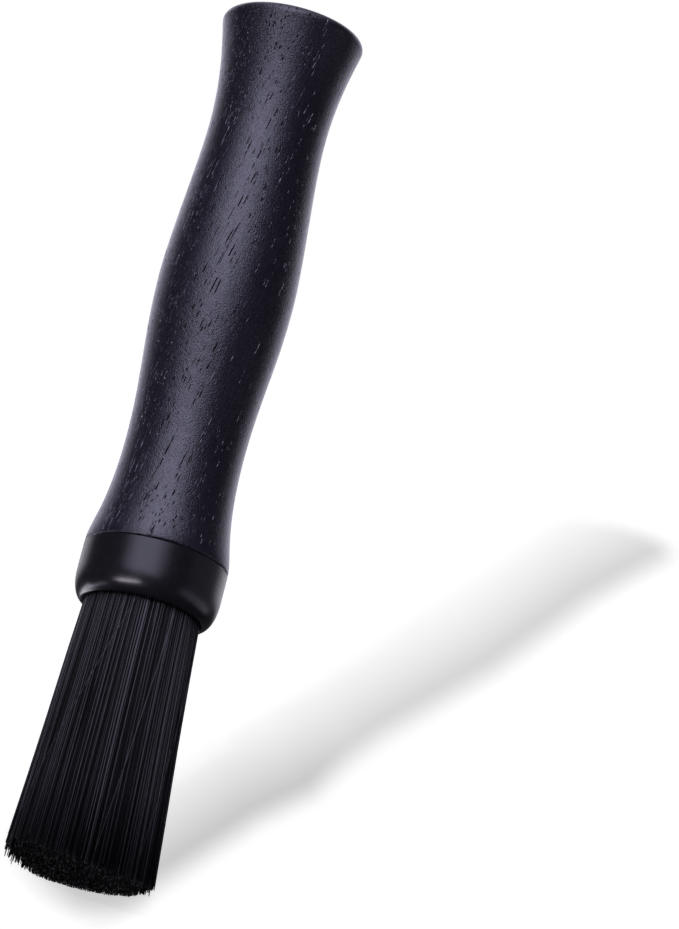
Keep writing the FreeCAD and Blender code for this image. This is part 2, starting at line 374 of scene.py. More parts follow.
def trim(lines, share):
    """Cuts the ends. The cut is uneven in clumps and singly, even along the far rim and longest on
    the near side. At the left and right rim most tips fall short, so gaps show between the rest.
    Each of these is a ramp from 0 to 1 over the place of the tip, times a length."""
    x, y = lines[:, -1, 0] - LEAN, lines[:, -1, 1]
    left = x < 0
    sideways = np.abs(x) / np.hypot(x, y).clip(1e-6)
    far = ramp(share, *FAR_RIM) * (y > 0) * (1 - sideways ** 6)
    uneven = (np.abs(waves(x, y, CUT_WAVES, CUT_REACH, CUT_UNEVEN))
              + np.abs(chance.normal(0, CUT_UNEVEN, FILAMENTS)))
    end = uneven * (1 - FAR_EVENNESS * far) - LONGEST
    end -= NEAR_LONGER * ramp(share * np.clip(-y + 0.5 * x, 0, None) / NEAR_SPAN, *NEAR_RIM)
    fringe = np.where(left, ramp(sideways, *LEFT_SIDE), ramp(sideways, *RIGHT_SIDE))
    corner = fringe * ramp(share, np.where(left, LEFT_RIM, RIGHT_RIM), RIM_RAMP)
    short = chance.random(FILAMENTS) < np.where(left, SHORT_CHANCE_LEFT, SHORT_CHANCE_RIGHT)
    end += corner * short * chance.uniform(*SHORT_BY, FILAMENTS)
    lines[:, -1, 2] = np.clip(end, -LONGEST - NEAR_LONGER, SHORTEST)


trim(filament_lines, filament_share)
tips = filament_lines[:, -1, 2]
print("tips lie between, mm:", tips.min().round(2), "and", tips.max().round(2))

# %% A few filaments that lie askew
CROSSING, ASKEW_INSIDE = 10, -0.15
FRONT_STARTS, FRONT_TWISTS = [-7.0, 33.0], [-70.0, -24.0]
OTHER_STARTS, OTHER_TWIST = (70, 290), 20


def lay_across(lines, first, start_angle, twist):
    """Lays a few rim filaments askew on the outside of the tuft: the angle round the axis goes
    from start_angle at the mouth by twist degrees at the tips."""
    angle = np.radians(start_angle[:, None] + twist[:, None] * FREE_SHARE)
    radius = free_radius() + np.where(FREE_SHARE > 0, ROOM_BELOW_MOUTH, ASKEW_INSIDE)
    rows = slice(first, first + len(start_angle))
    lines[rows, :, 0] = radius * np.sin(angle) + LEANING
    lines[rows, :, 1] = -radius * np.cos(angle)


others = CROSSING - len(FRONT_STARTS)
askew_start = np.concatenate([FRONT_STARTS, chance.uniform(*OTHER_STARTS, others)])
askew_twist = np.concatenate([FRONT_TWISTS, chance.normal(0, OTHER_TWIST, others)])
lay_across(filament_lines, FILAMENTS - CROSSING, askew_start, askew_twist)
print("askew by, degrees:", askew_twist.round())

# %% Filaments as sticks
TAPER = 0.92


def sticks(name, lines, radii, painted_sheen):
    """Sticks along centre lines: at each level the corners stand round the centre at the stick's
    radius, at angles evenly spaced from a random start. Both ends are closed by a flat face.
    Each stick keeps one random number, its painted sheen, for the finish to read."""
    count, levels = lines.shape[:2]
    angle = chance.uniform(0, np.pi, count)[:, None, None] + np.arange(SIDES) * 2 * np.pi / SIDES
    reach = radii[:, None, None] * np.linspace(1.0, TAPER, levels)[None, :, None]
    points = np.empty((count, levels, SIDES, 3))
    points[..., 0] = lines[..., None, 0] + reach * np.cos(angle)
    points[..., 1] = lines[..., None, 1] + reach * np.sin(angle)
    points[..., 2] = lines[..., None, 2]
    first = (np.arange(count) * levels * SIDES)[:, None, None]
    sides = grid_faces(levels, SIDES)[:, ::-1]
    ends = np.array([np.arange(SIDES), (levels - 1) * SIDES + np.arange(SIDES)[::-1]])
    piece = add_piece(name, points.reshape(-1, 3) * MM, (first + sides).reshape(-1, 4),
                      (first + ends).reshape(-1, SIDES))
    mark = piece.data.attributes.new("painted_sheen", "FLOAT", "POINT")
    mark.data.foreach_set("value", np.repeat(painted_sheen, levels * SIDES).astype(np.float32))
    return piece

# %% Bright and dark filaments
# Filaments picked here get a bright painted sheen, a painted highlight along their side; the rest
# stay near black.
BRIGHT_GAPS, GAP_CHANCES = [2, 3, 4, 5], [0.35, 0.35, 0.20, 0.10]
INNER_BRIGHT, RIM_BRIGHT, RIM_STARTS, THICKNESSES = 0.22, 0.04, 0.96, (0.85, 1.12)
BRIGHT_SHEENS, DARK_SHEENS, CROSSING_SHEENS = (0.35, 1.0), (0.0, 0.10), (0.5, 0.8)
filament_radii = FILAMENT_RADIUS * chance.uniform(*THICKNESSES, FILAMENTS)
outer_ring = np.arange(FILAMENTS - RIM_FILAMENTS + 1, FILAMENTS, 2)
picked = np.cumsum(chance.choice(BRIGHT_GAPS, len(outer_ring), p=GAP_CHANCES))
bright = chance.random(FILAMENTS) < np.where(filament_share < RIM_STARTS, INNER_BRIGHT, RIM_BRIGHT)
bright[outer_ring[picked[picked < len(outer_ring)]]] = True
filament_painted_sheen = np.where(bright, chance.uniform(*BRIGHT_SHEENS, FILAMENTS),
                         chance.uniform(*DARK_SHEENS, FILAMENTS))
filament_painted_sheen[-CROSSING:] = chance.uniform(*CROSSING_SHEENS, CROSSING)
print("bright filaments:", int(bright.sum()), "of", FILAMENTS)

# %% The tuft in three layers
OUTER_FROM, MIDDLE_FROM = 0.82, 0.57
layers = {"tuft_outer": filament_share > OUTER_FROM,
          "tuft_middle": (filament_share <= OUTER_FROM) & (filament_share > MIDDLE_FROM),
          "tuft_core": filament_share <= MIDDLE_FROM}
tuft = []
for name, members in layers.items():
    layer = sticks(name, filament_lines[members], filament_radii[members], filament_painted_sheen[members])
    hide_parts("bristles")
    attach(layer, "root")
    tuft.append(layer)

# %% [markdown]
# ## Finishes
# Small helpers add nodes and join them, so each finish reads as a short list. Nodes could be laid
# out by hand in the Shader Editor; in code every value stands beside its own name.

# %% Materials and nodes
def new_material(name):
    """A node material, its node tree and its Principled shader."""
    material = bpy.data.materials.new(name)
    material.use_nodes = True
    tree = material.node_tree
    return material, tree, tree.nodes["Principled BSDF"]


def add(tree, kind, **settings):
    """Adds a node of that kind. A setting that names a socket sets its value, or links to it if it
    is another node's output; any other setting is the node's own."""
    node = tree.nodes.new(kind)
    for key, value in settings.items():
        if hasattr(node, key) and key not in node.inputs:
            setattr(node, key, value)
    for key, value in settings.items():
        if key in node.inputs:
            plug(tree, value, node.inputs[key])
    return node


def plug(tree, value, socket):
    """Links an output to a socket, or writes a plain number or colour in it."""
    if isinstance(value, bpy.types.NodeSocket):
        tree.links.new(value, socket)
    else:
        socket.default_value = value

# %% Sums, ranges and mixes
def maths(tree, operation, *values):
    """One Math node, with its values in order; returns its output."""
    node = tree.nodes.new("ShaderNodeMath")
    node.operation = operation
    for value, socket in zip(values, node.inputs):
        plug(tree, value, socket)
    return node.outputs[0]


def vector_maths(tree, operation, *values):
    """One Vector Math node, with its values in order; returns its output."""
    node = tree.nodes.new("ShaderNodeVectorMath")
    node.operation = operation
    for value, socket in zip(values, node.inputs):
        plug(tree, value, socket)
    return node.outputs["Vector"]


def ranged(tree, value, low, high, to_low=0.0, to_high=1.0, kind="LINEAR"):
    """A Map Range node that takes low..high to to_low..to_high; returns its output."""
    node = tree.nodes.new("ShaderNodeMapRange")
    node.interpolation_type = kind
    ends = {"From Min": low, "From Max": high, "To Min": to_low, "To Max": to_high}
    for key, number in ends.items():
        plug(tree, number, node.inputs[key])
    plug(tree, value, node.inputs["Value"])
    return node.outputs[0]


def mixed(tree, share, first, second):
    """A colour that goes from first to second as share goes from 0 to 1."""
    node = tree.nodes.new("ShaderNodeMix")
    node.data_type = "RGBA"
    plug(tree, share, node.inputs["Factor"])
    plug(tree, first, node.inputs["A"])
    plug(tree, second, node.inputs["B"])
    return node.outputs["Result"]


def object_place(tree):
    """The Object coordinates' output: metres, in the brush's own axes."""
    return tree.nodes.new("ShaderNodeTexCoord").outputs["Object"]


def parts_of(tree, vector):
    """The X, Y and Z of a vector, as outputs."""
    return add(tree, "ShaderNodeSeparateXYZ", Vector=vector).outputs

# %% [markdown]
# ### Fine grain, shared by lacquer and metal
# Sprayed lacquer and blasted metal both have a fine uneven skin. It is far too fine to model, so
# it is a height for a Bump node. One node group makes it for both: two sizes of noise added, with
# the size of the grain and the share of the coarser one as inputs.

# %% The group "fine_grain"
def new_group(name, inputs, outputs):
    """A shader node group, with the values that come in and the sockets that go out. An input is
    given as name, kind and starting value, and an output as name and kind."""
    group = bpy.data.node_groups.new(name, "ShaderNodeTree")
    for label, kind, value in inputs:
        socket = group.interface.new_socket(label, in_out="INPUT", socket_type=kind)
        if value is not None:
            socket.default_value = value
    for label, kind in outputs:
        group.interface.new_socket(label, in_out="OUTPUT", socket_type=kind)
    coming_in, going_out = group.nodes.new("NodeGroupInput"), group.nodes.new("NodeGroupOutput")
    return group, coming_in.outputs, going_out.inputs


NUMBER, VECTOR = "NodeSocketFloat", "NodeSocketVector"
COARSER = 6.0
fine_grain, given, result = new_group(
    "fine_grain",
    [("Place", VECTOR, None), ("Grain size", NUMBER, 0.0004), ("Coarse share", NUMBER, 0.5)],
    [("Height", NUMBER)])
pitch = maths(fine_grain, "DIVIDE", 1.0, given["Grain size"])
fine = add(fine_grain, "ShaderNodeTexNoise", Vector=given["Place"], Scale=pitch, Detail=1.0)
coarse = add(fine_grain, "ShaderNodeTexNoise", Vector=given["Place"],
             Scale=maths(fine_grain, "DIVIDE", pitch, COARSER), Detail=1.0)
spread = maths(fine_grain, "MULTIPLY", coarse.outputs["Fac"], given["Coarse share"])
plug(fine_grain, maths(fine_grain, "ADD", fine.outputs["Fac"], spread), result["Height"])
print("fine_grain has", len(fine_grain.nodes), "nodes")


def place_group(tree, group, **values):
    """Places a group in a material; underscores in the names stand for spaces."""
    node = tree.nodes.new("ShaderNodeGroup")
    node.node_tree = group
    for key, value in values.items():
        plug(tree, value, node.inputs[key.replace("_", " ")])
    return node.outputs

# %% [markdown]
# ### Black-stained hardwood
# Open pores are what shows that the handle is wood: tubes that run up the grain, cut open by
# the lathe. Where the surface runs along the grain they are long dashes, and where it slopes they
# are short dots. A solid texture gives both at once: round cells seen from above, drawn out along
# Z, that wander a little and are stopped here and there. Growth rings gather them in bands, and
# this plank is more open on its left and towards the top.
# Lacquer pools on the walls of a pore, so each has a dark core with a glint beside it. The group
# gives both masks, and the finish uses the core for a dull hole and the rest for a pale wall. The
# hole's darkness is partly the stain in it and partly painted shade of its depth.

# %% The group "pores": tubes, and where they open
WANDER_SCALE, WANDER_REACH = 60.0, (0.0012, 0.0012, 0.0)
OPEN_LEVELS = (0.46, 0.50)
pores, given, result = new_group(
    "pores",
    [("Place", VECTOR, None), ("Spacing", NUMBER, 0.0007), ("Radius", NUMBER, 0.17),
     ("Share", NUMBER, 0.5), ("Run", NUMBER, 0.008)],
    [("Depth", NUMBER), ("Core", NUMBER)])
# The tubes wander: noise swings the place sideways by up to half of WANDER_REACH.
wander = add(pores, "ShaderNodeTexNoise", Vector=given["Place"], Scale=WANDER_SCALE, Detail=1.0)
swing = vector_maths(pores, "MULTIPLY", vector_maths(
    pores, "SUBTRACT", wander.outputs["Color"], (0.5, 0.5, 0.5)), WANDER_REACH)
swung = vector_maths(pores, "ADD", given["Place"], swing)
# One tube a cell, seen from above, with three random numbers of its own.
spaced = vector_maths(pores, "SCALE", swung)
plug(pores, maths(pores, "DIVIDE", 1.0, given["Spacing"]), spaced.node.inputs["Scale"])
tubes = add(pores, "ShaderNodeTexVoronoi", voronoi_dimensions="2D", Vector=spaced, Scale=1.0)
draw = add(pores, "ShaderNodeSeparateColor", Color=tubes.outputs["Color"]).outputs
# A tube is open where noise along Z passes a level; green starts that noise elsewhere in each.
parts = parts_of(pores, given["Place"])
run = maths(pores, "ADD", maths(pores, "DIVIDE", parts["Z"], given["Run"]),
            maths(pores, "MULTIPLY", draw["Green"], 100.0))
stops = add(pores, "ShaderNodeTexNoise", noise_dimensions="1D", W=run, Scale=1.0, Detail=2.0)
open_here = ranged(pores, stops.outputs["Fac"], *OPEN_LEVELS)

# %% The group "pores": widths and masks
RAGGED_SCALE = (3200.0, 3200.0, 1200.0)
# Each mask fades in between these two distances from a tube's middle, in its own radii.
MASK_EDGES = {"Depth": (1.7, 0.7), "Core": (1.05, 0.72)}
# Red picks the share of tubes that are there at all, and blue and a fine noise set their width.
kept = maths(pores, "LESS_THAN", draw["Red"], given["Share"])
ragged = add(pores, "ShaderNodeTexNoise", Detail=0.0, Scale=1.0,
             Vector=vector_maths(pores, "MULTIPLY", given["Place"], RAGGED_SCALE))
own_width = maths(pores, "MULTIPLY", draw["Blue"], 0.5)
wide = maths(pores, "MULTIPLY", given["Radius"],
             maths(pores, "ADD", own_width, ragged.outputs["Fac"]))
here = maths(pores, "MULTIPLY", kept, open_here)
off_centre = maths(pores, "DIVIDE", tubes.outputs["Distance"], wide)
for name, (outside, inside) in MASK_EDGES.items():
    mask = ranged(pores, off_centre, outside, inside, kind="SMOOTHSTEP")
    plug(pores, maths(pores, "MULTIPLY", mask, here), result[name])
print("pores has", len(pores.nodes), "nodes")

# %% Where the handle's pores lie
wood, tree, shader = new_material("black_stained_wood")
GRAIN_SLOPE, PITH = np.radians(12.0), (0.031, 0.019, 0.0)
RING_WIDTH, RING_BEND, RING_SHARES = 0.0034, 2.4, (0.15, 0.58)
LARGE_PORES = {"Spacing": 0.00054, "Radius": 0.22, "Run": 0.0055}
SMALL_PORES = {"Spacing": 0.00045, "Radius": 0.19, "Run": 0.0025}
SMALL_SHARE, SMALL_DEPTH, SMALL_CORE = 0.22, 0.7, 0.8
# From one place to another, in metres, and how crowded the pores are at each.
CROWDING_ACROSS, CROWDING_UP = (0.001, 0.008, 1.45, 0.25), (0.135, 0.170, 1.0, 1.4)
place = object_place(tree)
where = add(tree, "ShaderNodeMapping", Vector=place, Rotation=(0.0, -GRAIN_SLOPE, 0.0)).outputs[0]
parts = parts_of(tree, vector_maths(tree, "SUBTRACT", where, PITH))
pith_distance = maths(tree, "SQRT", maths(tree, "ADD", maths(tree, "POWER", parts["X"], 2.0),
                                          maths(tree, "POWER", parts["Y"], 2.0)))
bent = add(tree, "ShaderNodeTexNoise", Vector=where, Scale=22.0, Detail=1.0)
ring = maths(tree, "FRACT", maths(tree, "ADD", maths(tree, "DIVIDE", pith_distance, RING_WIDTH),
                                  maths(tree, "MULTIPLY", bent.outputs["Fac"], RING_BEND)))
early_wood = ranged(tree, ring, 0.60, 0.25, *RING_SHARES, kind="SMOOTHSTEP")
plank = parts_of(tree, place)
crowding = maths(tree, "MULTIPLY", ranged(tree, plank["X"], *CROWDING_ACROSS),
                 ranged(tree, plank["Z"], *CROWDING_UP))
large_pores = place_group(tree, pores, Place=where, **LARGE_PORES,
                          Share=maths(tree, "MULTIPLY", early_wood, crowding))
elsewhere = vector_maths(tree, "ADD", where, (0.013, 0.007, 0.002))
small_pores = place_group(tree, pores, Place=elsewhere, **SMALL_PORES,
                          Share=maths(tree, "MULTIPLY", crowding, SMALL_SHARE))
pore_depth = maths(tree, "MAXIMUM", large_pores["Depth"],
                   maths(tree, "MULTIPLY", small_pores["Depth"], SMALL_DEPTH))
pore_core = maths(tree, "MAXIMUM", large_pores["Core"],
                  maths(tree, "MULTIPLY", small_pores["Core"], SMALL_CORE))
print("large pores a square centimetre at most:", round(1e-4 / LARGE_PORES["Spacing"] ** 2))

# %% Handle finish
PORE_HEIGHT, SKIN_HEIGHT, STREAK_HEIGHT = -0.13, 0.09, 0.012
DARK_STAIN, PALE_STAIN = (0.0048, 0.0042, 0.0085, 1), (0.0086, 0.0077, 0.0145, 1)
# The hole's near black is partly the stain in it and partly painted shade of its depth.
PORE_WALL, PORE_HOLE = (0.20, 0.185, 0.25, 1), (0.0006, 0.0005, 0.0009, 1)
LACQUER_ROUGHNESS, HOLE_ROUGHNESS, SKIN_DULLING = 0.29, 0.60, 0.36
skin = place_group(tree, fine_grain, Place=where, Grain_size=0.00029, Coarse_share=0.3)
streaks = add(tree, "ShaderNodeTexNoise", Detail=2.0, Scale=1.0, Vector=vector_maths(
    tree, "MULTIPLY", where, (2200.0, 2200.0, 90.0)))
height = maths(tree, "ADD", maths(tree, "MULTIPLY", pore_depth, PORE_HEIGHT),
               maths(tree, "ADD", maths(tree, "MULTIPLY", skin["Height"], SKIN_HEIGHT),
                     maths(tree, "MULTIPLY", streaks.outputs["Fac"], STREAK_HEIGHT)))
bump = add(tree, "ShaderNodeBump", Strength=1.0, Distance=MM, Height=height)
stain = mixed(tree, ranged(tree, streaks.outputs["Fac"], 0.3, 0.7), DARK_STAIN, PALE_STAIN)
wall = maths(tree, "MULTIPLY", pore_depth, maths(tree, "SUBTRACT", 1.0, pore_core))
stain = mixed(tree, wall, stain, PORE_WALL)
plug(tree, mixed(tree, pore_core, stain, PORE_HOLE), shader.inputs["Base Color"])
plug(tree, ranged(tree, pore_core, 0.0, 1.0, LACQUER_ROUGHNESS, HOLE_ROUGHNESS),
     shader.inputs["Roughness"])
# Metallic gloss takes the base colour: dull in the holes, where it paints their shade, and in part
# of the skin, bright on walls.
plug(tree, maths(tree, "MAXIMUM", maths(tree, "MAXIMUM", pore_core, ranged(tree, wall, 0.0, 0.5)),
                 ranged(tree, skin["Height"], 0.72, 0.50, 0.0, SKIN_DULLING)),
     shader.inputs["Metallic"])
plug(tree, bump.outputs["Normal"], shader.inputs["Normal"])
shader.inputs["Specular IOR Level"].default_value = 0.68
shader.inputs["Specular Tint"].default_value = (0.76, 0.74, 1.0, 1)
handle.data.materials.append(wood)
print(wood.name, "has", len(tree.nodes), "nodes")

# %% [markdown]
# ### Satin black metal, epoxy and nylon
# The ferrule is coated satin black: darker and more even than the wood, with a very fine skin, so
# nearly all that shows on it is the lamps, mirrored. The filaments are near black nylon, and some
# carry a painted highlight. A texture in space would run across many filaments at once, so each
# reads its own painted sheen from its mesh and its side is all bright or all dark. That painted
# sheen fades towards the tips, as painted shade. Their cut ends are rougher, and the brightest are
# painted pale: partly the paler cut of nylon, partly painted glints that show as specks. The resin
# inside never shows and gets a plain dark casting finish.

# %% Ferrule finish
COOL_SHEEN = (0.78, 0.76, 1.0, 1)
DARK_COAT, PALE_COAT = (0.0032, 0.0030, 0.0046, 1), (0.0064, 0.0061, 0.0086, 1)
COAT_HEIGHT, COAT_ROUGHNESS = 0.004, (0.23, 0.28)
coating, tree, shader = new_material("satin_black_metal")
skin = place_group(tree, fine_grain, Place=object_place(tree), Grain_size=0.00022, Coarse_share=0.6)
bump = add(tree, "ShaderNodeBump", Strength=1.0, Distance=MM,
           Height=maths(tree, "MULTIPLY", skin["Height"], COAT_HEIGHT))
plug(tree, bump.outputs["Normal"], shader.inputs["Normal"])
plug(tree, ranged(tree, skin["Height"], 0.4, 1.2, *COAT_ROUGHNESS), shader.inputs["Roughness"])
plug(tree, mixed(tree, ranged(tree, skin["Height"], 0.5, 1.1), DARK_COAT, PALE_COAT),
     shader.inputs["Base Color"])
shader.inputs["Specular IOR Level"].default_value = 0.35
shader.inputs["Specular Tint"].default_value = COOL_SHEEN
ferrule.data.materials.append(coating)
print(coating.name, "has", len(tree.nodes), "nodes")

# %% Filament finish
# Sides go from near black nylon to a painted highlight. Cut ends go from black to pale, partly the
# paler cut of nylon and partly painted glints.
DARK_SIDE, BRIGHT_SIDE = (0.0008, 0.0008, 0.0014, 1), (0.118, 0.112, 0.146, 1)
DARK_CUT, BRIGHT_CUT = (0.0008, 0.0008, 0.0010, 1), (0.75, 0.70, 0.68, 1)
# The painted sheen is full from FULL_SHINE_HEIGHT up and falls to SHINE_AT_TIPS of it at the tips:
# painted shade towards the tips.
FULL_SHINE_HEIGHT, SHINE_AT_TIPS = 0.056, 0.50
DULL_ROUGHNESS, SHINY_ROUGHNESS = 0.75, 0.32
nylon, tree, shader = new_material("black_nylon")
painted_sheen = add(tree, "ShaderNodeAttribute", attribute_name="painted_sheen").outputs["Fac"]
up = parts_of(tree, object_place(tree))["Z"]
shine = maths(tree, "MULTIPLY", painted_sheen,
              ranged(tree, up, 0.0, FULL_SHINE_HEIGHT, SHINE_AT_TIPS, 1.0))
facing = parts_of(tree, add(tree, "ShaderNodeNewGeometry").outputs["True Normal"])
cut_end = ranged(tree, facing["Z"], -0.5, -0.9)
side = mixed(tree, shine, DARK_SIDE, BRIGHT_SIDE)
# The brighter filaments' cut ends are painted pale: partly the paler cut of nylon, partly painted
# glints.
cut = mixed(tree, ranged(tree, painted_sheen, 0.50, 0.90), DARK_CUT, BRIGHT_CUT)
side_roughness = ranged(tree, shine, 0.0, 0.8, DULL_ROUGHNESS, SHINY_ROUGHNESS)
plug(tree, mixed(tree, cut_end, side, cut), shader.inputs["Base Color"])
plug(tree, maths(tree, "MAXIMUM", cut_end, side_roughness), shader.inputs["Roughness"])
shader.inputs["Specular IOR Level"].default_value = 0.14
shader.inputs["Specular Tint"].default_value = COOL_SHEEN
for layer in tuft:
    layer.data.materials.append(nylon)
print(nylon.name, "is on", len(tuft), "layers")

# %% Resin finish
epoxy, tree, shader = new_material("dark_epoxy")
cloud = add(tree, "ShaderNodeTexNoise", Vector=object_place(tree), Scale=400.0, Detail=2.0)
plug(tree, mixed(tree, cloud.outputs["Fac"], (0.010, 0.008, 0.006, 1), (0.020, 0.016, 0.012, 1)),
     shader.inputs["Base Color"])
plug(tree, ranged(tree, cloud.outputs["Fac"], 0.3, 0.7, 0.25, 0.35), shader.inputs["Roughness"])
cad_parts["resin_plug"].material_slots[0].material = epoxy
print(epoxy.name, "has", len(tree.nodes), "nodes")

# %% [markdown]
# ## Stage
# The photograph has a white ground with one soft grey shadow that runs up behind the brush. A
# slanted sheet under and behind the tips catches the brush's own shadow. A glow that the camera
# alone sees keeps the open paper white. That glow is dimmed in a soft band along the shadow and in
# a patch under the tips, a painted shadow over the cast one, since one lamp alone would leave its
# edges sharp near the tips. The sheet and the level floor show their fronts alone, so neither
# hides the brush from another side.

# %% White stage
PAPER = (0.8, 0.8, 0.8, 1)


def white_stage(name, points, faces, glow):
    """A flat sheet that shows only its front. It is matt PAPER, and glow, one number a point, adds
    light for the camera alone."""
    sheet = add_piece(name, points, faces)
    mark = sheet.data.attributes.new("glow", "FLOAT", "POINT")
    mark.data.foreach_set("value", np.broadcast_to(glow, len(points)).astype(np.float32))
    paper = bpy.data.materials.new(name)
    paper.use_nodes = True
    tree = paper.node_tree
    tree.nodes.clear()
    matt = add(tree, "ShaderNodeBsdfDiffuse", Color=PAPER)
    seen = add(tree, "ShaderNodeLightPath").outputs["Is Camera Ray"]
    own = add(tree, "ShaderNodeAttribute", attribute_name="glow").outputs["Fac"]
    light = add(tree, "ShaderNodeEmission", Strength=maths(tree, "MULTIPLY", seen, own))
    both = add(tree, "ShaderNodeAddShader")
    tree.links.new(matt.outputs[0], both.inputs[0])
    tree.links.new(light.outputs[0], both.inputs[1])
    clear = add(tree, "ShaderNodeBsdfTransparent")
    sides = add(tree, "ShaderNodeMixShader",
                Fac=add(tree, "ShaderNodeNewGeometry").outputs["Backfacing"])
    tree.links.new(both.outputs[0], sides.inputs[1])
    tree.links.new(clear.outputs[0], sides.inputs[2])
    tree.links.new(sides.outputs[0], add(tree, "ShaderNodeOutputMaterial").inputs["Surface"])
    sheet.data.materials.append(paper)
    sheet.visible_shadow = sheet.visible_diffuse = sheet.visible_glossy = False
    return sheet

# %% The slanted sheet's place
SHEET_FACING = from_view(0.681, 1.100, 0.3172)
SHEET_FACING /= np.linalg.norm(SHEET_FACING)
SHEET_POINT = np.array([0.0, 0.0, -18.3 * MM])
print("sheet slants from level by, degrees:", np.degrees(np.arccos(SHEET_FACING[2])).round(1))


def seen_on_sheet(column, row):
    """The points of the slanted sheet that the photograph shows at columns and rows of pixels: a
    ray from the camera through the pixel, as long as it takes to reach the sheet's plane."""
    rays = np.stack([column - IMAGE_WIDTH / 2, IMAGE_HEIGHT / 2 - row,
                     np.full_like(column, -FOCAL_PIXELS)], -1) @ camera_axes.T
    reach = ((SHEET_POINT - camera_place) @ SHEET_FACING) / (rays @ SHEET_FACING)
    return camera_place + rays * reach[..., None]

# %% How the shadow fades over the sheet
SHADOW_START, SHADOW_ALONG = (160, 890), (0.8368, -0.5476)
# How deep the painted shadow is: in the band near the tips, further along, and in the patch under
# the tips.
BAND_DEPTH_NEAR, BAND_DEPTH_FAR, PATCH_DEPTH = 0.41, 0.325, 0.40
# Pixels along the band, the brush's radius there in millimetres, and the pixels a millimetre.
RADIUS_ALONG = [120, 180, 225, 270, 400, 520, 610]
RADII, MEAN_RADIUS, PIXELS_A_MM = [13.2, 15.5, 13.4, 12.6, 14.6, 12.8, 15.0], 13.2, 3.4


def eased(value, start, end):
    """0 before start and 1 after end, with a smooth S between."""
    t = ramp(value, start, end - start)
    return t * t * (3 - 2 * t)


def shadow_depth(column, row):
    """The painted shadow: how far the paper's glow falls short of white. The band runs from under
    the
    tips to the upper right: it rises softly over its lower edge, which follows the brush's outline,
    and fades slowly upwards. A patch of painted shadow with the same depth and a curved edge lies
    under the tips. Each is a product of ramps and eased steps over pixels along the band and above
    it."""
    across, down = column - SHADOW_START[0], row - SHADOW_START[1]
    along = across * SHADOW_ALONG[0] + down * SHADOW_ALONG[1]
    above = across * SHADOW_ALONG[1] - down * SHADOW_ALONG[0]
    above = above + PIXELS_A_MM * (np.interp(along, RADIUS_ALONG, RADII) - MEAN_RADIUS)
    deepest = np.interp(along, [185, 235], [BAND_DEPTH_NEAR, BAND_DEPTH_FAR])
    fade = (1 - ramp(above, 22, 86)) ** np.interp(along, [150, 300], [1.05, 1.4])
    far_end = 1 - eased(along + 0.0095 * above ** 2, 598, 628)
    band = deepest * eased(above, -14, 22) * fade * far_end * eased(along, -95, -35)
    lower_edge = 919 - np.where(column < 105, 0.0052, 0.0090) * (column - 105) ** 2
    patch = PATCH_DEPTH * ramp(column, -8, 85) * (1 - eased(row - lower_edge, -22, 15))
    return np.maximum(band, patch * eased(row, 790, 850) * (1 - eased(column, 145, 175)))


print("deepest under the tips:", shadow_depth(np.array([120.0]), np.array([880.0])).round(2))

# %% Sheet and floor
SHEET_STEP, SHEET_GLOW = 5, 0.955
FLOOR_REACH, FLOOR_DROP, FLOOR_GLOW = 3.0, 2.9 * MM, 0.5
columns, rows = np.meshgrid(np.arange(-60.0, 801, SHEET_STEP), np.arange(380.0, 1001, SHEET_STEP))
corner = np.arange(columns.size).reshape(columns.shape)
sheet_faces = np.stack([corner[1:, :-1], corner[1:, 1:],
                        corner[:-1, 1:], corner[:-1, :-1]], -1).reshape(-1, 4)
# The paper's glow, less the painted shadow's depth at each point.
depth = shadow_depth(columns, rows).ravel()
sheet = white_stage("shadow_sheet", seen_on_sheet(columns, rows).reshape(-1, 3), sheet_faces,
                    SHEET_GLOW - depth)
floor_corners = FLOOR_REACH * np.array([(-1, -1, 0), (1, -1, 0), (1, 1, 0), (-1, 1, 0)])
floor = white_stage("floor", floor_corners - [0, 0, FLOOR_DROP], np.array([[0, 1, 2, 3]]),
                    FLOOR_GLOW)
print("the shadow takes at most", depth.max().round(3), "of the paper's white")

# %% [markdown]
# ## Light
# Panels of soft light stand round the brush: a large one in front for the broad sheen, with two
# wider ones behind it that soften its edge, and low ones that draw the glow on the ferrule's lip.
# The bright rims are the white backdrop, mirrored: the world shows it to the camera and to the
# rays that leave a shiny face backwards and upwards. Towards the front the world stays dim, like
# the dark studio. Weak panels behind and above tint the wood's edges, and three small ones draw
# the ferrule's seam and side. Light linking keeps each to its pieces. Two plain suns light only
# the sheet and the floor, so the shadows can be set without changing the brush.

# %% Lamps and panels
MIDDLE, PANEL_DISTANCE = Vector((0, 0, 0.1)), 1.2
SOFT_WHITE, COOL, WARM = (0.97, 0.97, 1.0), (0.88, 0.86, 1.0), (1.0, 0.95, 0.86)


def lamp(name, kind, aim_from, target=MIDDLE, **settings):
    """A lamp standing at aim_from, turned to face target, that the camera doesn't see."""
    light = bpy.data.lights.new(name, kind)
    for key, value in settings.items():
        setattr(light, key, value)
    holder = bpy.data.objects.new(name, light)
    holder.location = aim_from
    holder.rotation_euler = (Vector(aim_from) - Vector(target)).to_track_quat("Z", "Y").to_euler()
    holder.visible_camera = False
    bpy.context.scene.collection.objects.link(holder)
    return holder


def panel(name, azimuth, elevation, wide, high, brightness,
          colour=SOFT_WHITE, distance=PANEL_DISTANCE):
    """A soft box seen from the brush's middle at an azimuth, 0 towards the camera and 90 to its
    right, and an elevation. It looks wide by high degrees, and as bright as a white of brightness:
    an area lamp's energy is pi times that brightness times its area."""
    a, e = np.radians([azimuth, elevation])
    place = Vector((np.sin(a) * np.cos(e), -np.cos(a) * np.cos(e), np.sin(e))) * distance
    width, height = 2 * distance * np.tan(np.radians([wide, high]) / 2)
    energy = brightness * np.pi * width * height
    print(name, "watts:", energy.round(1))
    return lamp(name, "AREA", place + MIDDLE, shape="RECTANGLE", size=width, size_y=height,
                energy=energy, color=colour)

